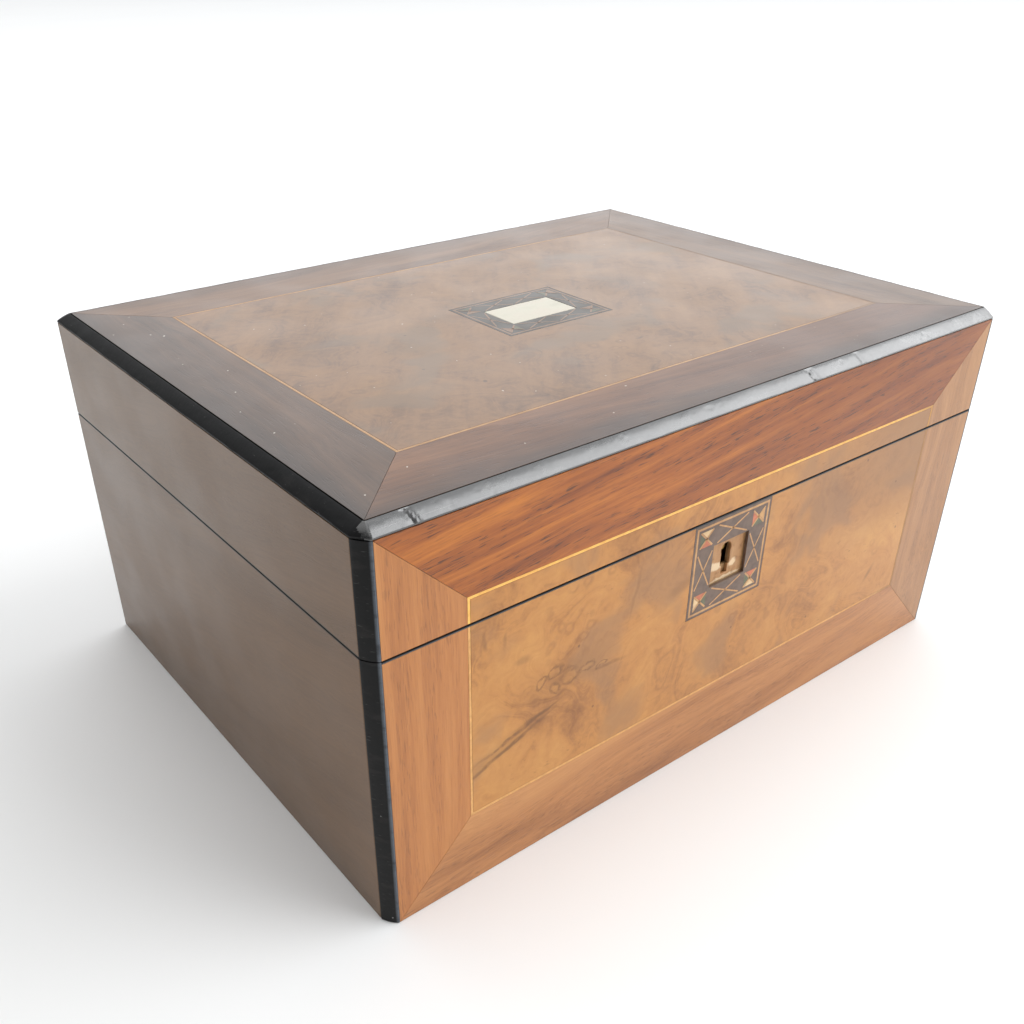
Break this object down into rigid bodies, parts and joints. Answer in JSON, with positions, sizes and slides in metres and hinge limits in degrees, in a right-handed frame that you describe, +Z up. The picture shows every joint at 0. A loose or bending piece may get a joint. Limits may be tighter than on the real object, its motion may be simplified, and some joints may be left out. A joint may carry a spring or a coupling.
{
  "type": "lockable hinged-lid box",
  "caption": "Walnut-veneered work box with a lift-up hinged lid, ebonised edges, inlaid stringing, a pearl cartouche and a box lock.",
  "frame": {"origin": "centre of the case's base face, the face that the box stands on", "axes": "+X to the right along the front, +Y from the front to the hinged back, +Z up"},
  "size_m": [0.305, 0.233, 0.151],
  "materials": {
    "walnut_side": "french polished plain walnut, dark brown",
    "walnut_band": "french polished straight-grained walnut, red-brown",
    "burr_walnut": "french polished burr walnut, golden brown with dark figure",
    "carcass_wood": "unpolished pine",
    "boxwood": "polished boxwood line",
    "ebonised_wood": "black stained and polished, worn along the front edge",
    "inlay_banding": "dark stained inlay with boxwood lines",
    "plate_wood": "worn pale plate, dull",
    "pearl": "polished mother-of-pearl",
    "brass": "aged satin brass",
    "steel": "dull steel",
    "lining_cloth": "plum cotton velvet and silk lining"
  },
  "bodies": {
    "case": {"case_back_board": "walnut_side", "case_base_board": "carcass_wood", "case_corner_strip_left": "ebonised_wood", "case_corner_strip_right": "ebonised_wood", "case_front_board": "carcass_wood", "case_front_bottom_band": "walnut_band", "case_front_burr_veneer": "burr_walnut", "case_front_edging": "ebonised_wood", "case_front_left_band": "walnut_band", "case_front_right_band": "walnut_band", "case_front_stringing": "boxwood", "case_left_board": "walnut_side", "case_right_board": "walnut_side", "escutcheon_frame": "inlay_banding", "escutcheon_plate": "plate_wood", "floor_lining": "lining_cloth", "hinge_left_case_leaf": "brass", "hinge_left_case_screw_1": "brass", "hinge_left_case_screw_2": "brass", "hinge_left_pin": "steel", "hinge_right_case_leaf": "brass", "hinge_right_case_screw_1": "brass", "hinge_right_case_screw_2": "brass", "hinge_right_pin": "steel", "lock_case": "brass", "lock_screw_left": "brass", "lock_screw_right": "brass", "lock_spring": "steel"},
    "lid": {"cartouche_frame": "inlay_banding", "hinge_left_lid_leaf": "brass", "hinge_left_lid_screw_1": "brass", "hinge_left_lid_screw_2": "brass", "hinge_right_lid_leaf": "brass", "hinge_right_lid_screw_1": "brass", "hinge_right_lid_screw_2": "brass", "lid_back_board": "walnut_side", "lid_corner_strip_left": "ebonised_wood", "lid_corner_strip_right": "ebonised_wood", "lid_edge_bead": "ebonised_wood", "lid_front_board": "carcass_wood", "lid_front_burr_strip": "burr_walnut", "lid_front_left_band": "walnut_band", "lid_front_right_band": "walnut_band", "lid_front_stringing": "boxwood", "lid_front_top_band": "walnut_band", "lid_left_board": "walnut_side", "lid_lining": "lining_cloth", "lid_right_board": "walnut_side", "lid_top_back_band": "walnut_band", "lid_top_board": "carcass_wood", "lid_top_burr_veneer": "burr_walnut", "lid_top_front_band": "walnut_band", "lid_top_left_band": "walnut_band", "lid_top_right_band": "walnut_band", "lid_top_stringing": "boxwood", "link_plate": "brass", "link_plate_screw_left": "brass", "link_plate_screw_right": "brass", "pearl_plate": "pearl"},
    "bolt": {"lock_bolt": "brass"}
  },
  "joints": [
    {"name": "lid_hinge", "type": "hinge", "parent": "case", "child": "lid", "pos_m": [0, 0.1158, 0.108], "axis": [-1, 0, 0], "range_deg": [0, 100]},
    {"name": "bolt_slide", "type": "slide", "parent": "case", "child": "bolt", "axis": [-1, 0, 0], "range_m": [0, 0.004]}
  ]
}
